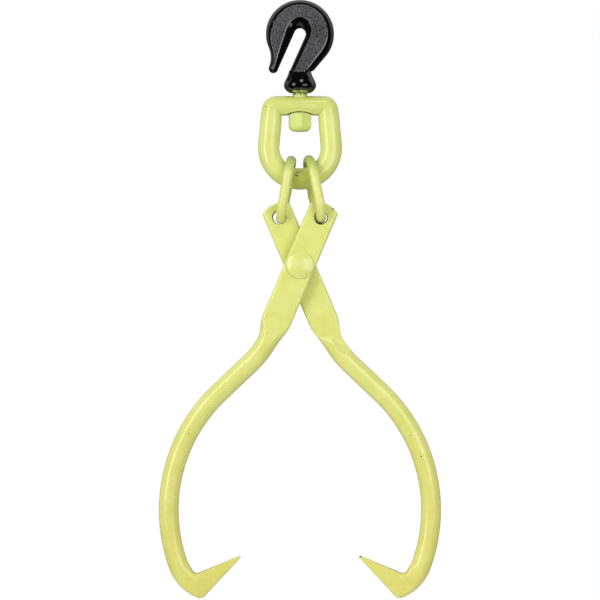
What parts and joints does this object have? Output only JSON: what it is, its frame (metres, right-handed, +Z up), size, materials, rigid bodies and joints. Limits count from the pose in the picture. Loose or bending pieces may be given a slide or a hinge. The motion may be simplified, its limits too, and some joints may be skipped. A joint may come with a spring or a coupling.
{
  "type": "lifting tongs",
  "caption": "Scissor lifting tongs with curved claw arms crossed on a rivet, hung by oval links from a D-shaped bail that swivels under a chain grab hook.",
  "frame": {"origin": "centre of the round seat at the top of the grab hook's slot, where a chain link hangs", "axes": "+Z up along the swivel bolt, +X to the right as the tongs are seen from the front, and -Y towards the front, where the arm with the left claw lies"},
  "size_m": [0.2268, 0.0391, 0.4802],
  "materials": {
    "lime_paint": "glossy yellow-green enamel",
    "black_paint": "black paint, glossy on the rims and satin on the faces"
  },
  "bodies": {
    "hook": {"grab_hook": "black_paint", "swivel_bolt": "lime_paint"},
    "bail": {"swivel_bail": "lime_paint"},
    "left_link": {"left_link": "lime_paint"},
    "rear_arm": {"rear_arm": "lime_paint", "pivot_rivet": "lime_paint"},
    "front_arm": {"front_arm": "lime_paint"},
    "right_link": {"right_link": "lime_paint"}
  },
  "joints": [
    {"name": "swivel", "type": "hinge", "parent": "hook", "child": "bail", "pos_m": [0, 0, -0.0575], "axis": [0, 0, 1], "continuous": true},
    {"name": "left_link_tilt", "type": "hinge", "parent": "bail", "child": "left_link", "pos_m": [0, 0, -0.0913], "axis": [0, 1, 0], "range_deg": [-8, 31]},
    {"name": "rear_arm_hang", "type": "hinge", "parent": "left_link", "child": "rear_arm", "pos_m": [-0.01633, 0.0043, -0.1474], "axis": [0, 1, 0], "range_deg": [-76, 19]},
    {"name": "jaw_open", "type": "hinge", "parent": "rear_arm", "child": "front_arm", "pos_m": [0, 0, -0.18588], "axis": [0, 1, 0], "range_deg": [-21, 90]},
    {"name": "right_link_hang", "type": "hinge", "parent": "front_arm", "child": "right_link", "pos_m": [0.01633, -0.0043, -0.1474], "axis": [0, 1, 0], "range_deg": [-76, 19]}
  ],
  "couplings": [
    {"joint": "left_link_tilt", "follows": "jaw_open", "ratio": 0.325},
    {"joint": "rear_arm_hang", "follows": "jaw_open", "ratio": -0.825},
    {"joint": "right_link_hang", "follows": "jaw_open", "ratio": -0.825}
  ]
}
